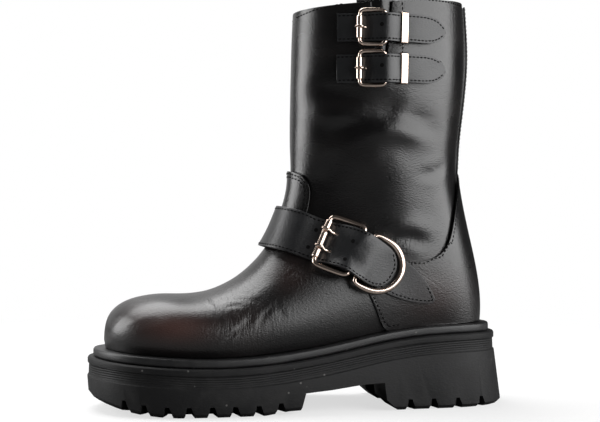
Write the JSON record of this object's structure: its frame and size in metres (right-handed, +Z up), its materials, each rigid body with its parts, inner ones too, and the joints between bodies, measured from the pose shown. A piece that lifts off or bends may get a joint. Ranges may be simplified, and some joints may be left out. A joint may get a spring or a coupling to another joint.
{
  "type": "boot",
  "caption": "Left mid-calf leather boot with a thick lugged rubber sole, welt, buckled ankle strap with a loose ring, and buckled straps over a collar slit.",
  "frame": {"origin": "middle of the bounding box, on the floor", "axes": "+X towards the toe, +Y to the outer side of the left foot, +Z up"},
  "size_m": [0.2926, 0.1154, 0.2825],
  "materials": {
    "leather": "smooth black calf, half gloss",
    "strap_leather": "smooth black strap leather, half gloss",
    "rubber": "matt black moulded rubber",
    "lining": "dark lining",
    "rose_metal": "polished rose gold plate"
  },
  "bodies": {
    "boot": {"outsole": "rubber", "welt": "rubber", "insole": "lining", "upper": "leather", "counter": "leather", "front_tab": "leather", "back_stay": "leather", "gusset": "leather", "ankle_strap": "strap_leather", "ankle_anchor": "strap_leather", "ankle_buckle": "rose_metal", "ankle_roller": "rose_metal", "ankle_prong_high": "rose_metal", "ankle_prong_low": "rose_metal", "collar_strap_high": "strap_leather", "collar_anchor_high": "strap_leather", "collar_buckle_high": "rose_metal", "collar_roller_high": "rose_metal", "collar_prong_high": "rose_metal", "collar_keeper_high": "rose_metal", "collar_strap_low": "strap_leather", "collar_anchor_low": "strap_leather", "collar_buckle_low": "rose_metal", "collar_roller_low": "rose_metal", "collar_prong_low": "rose_metal", "collar_keeper_low": "rose_metal"},
    "ring": {"d_ring": "rose_metal"}
  },
  "joints": [
    {"name": "ring_swing", "type": "hinge", "parent": "boot", "child": "ring", "pos_m": [-0.03743, 0.04369, 0.10311], "axis": [0.4616, 0.1352, -0.8767], "range_deg": [0, 80]}
  ]
}
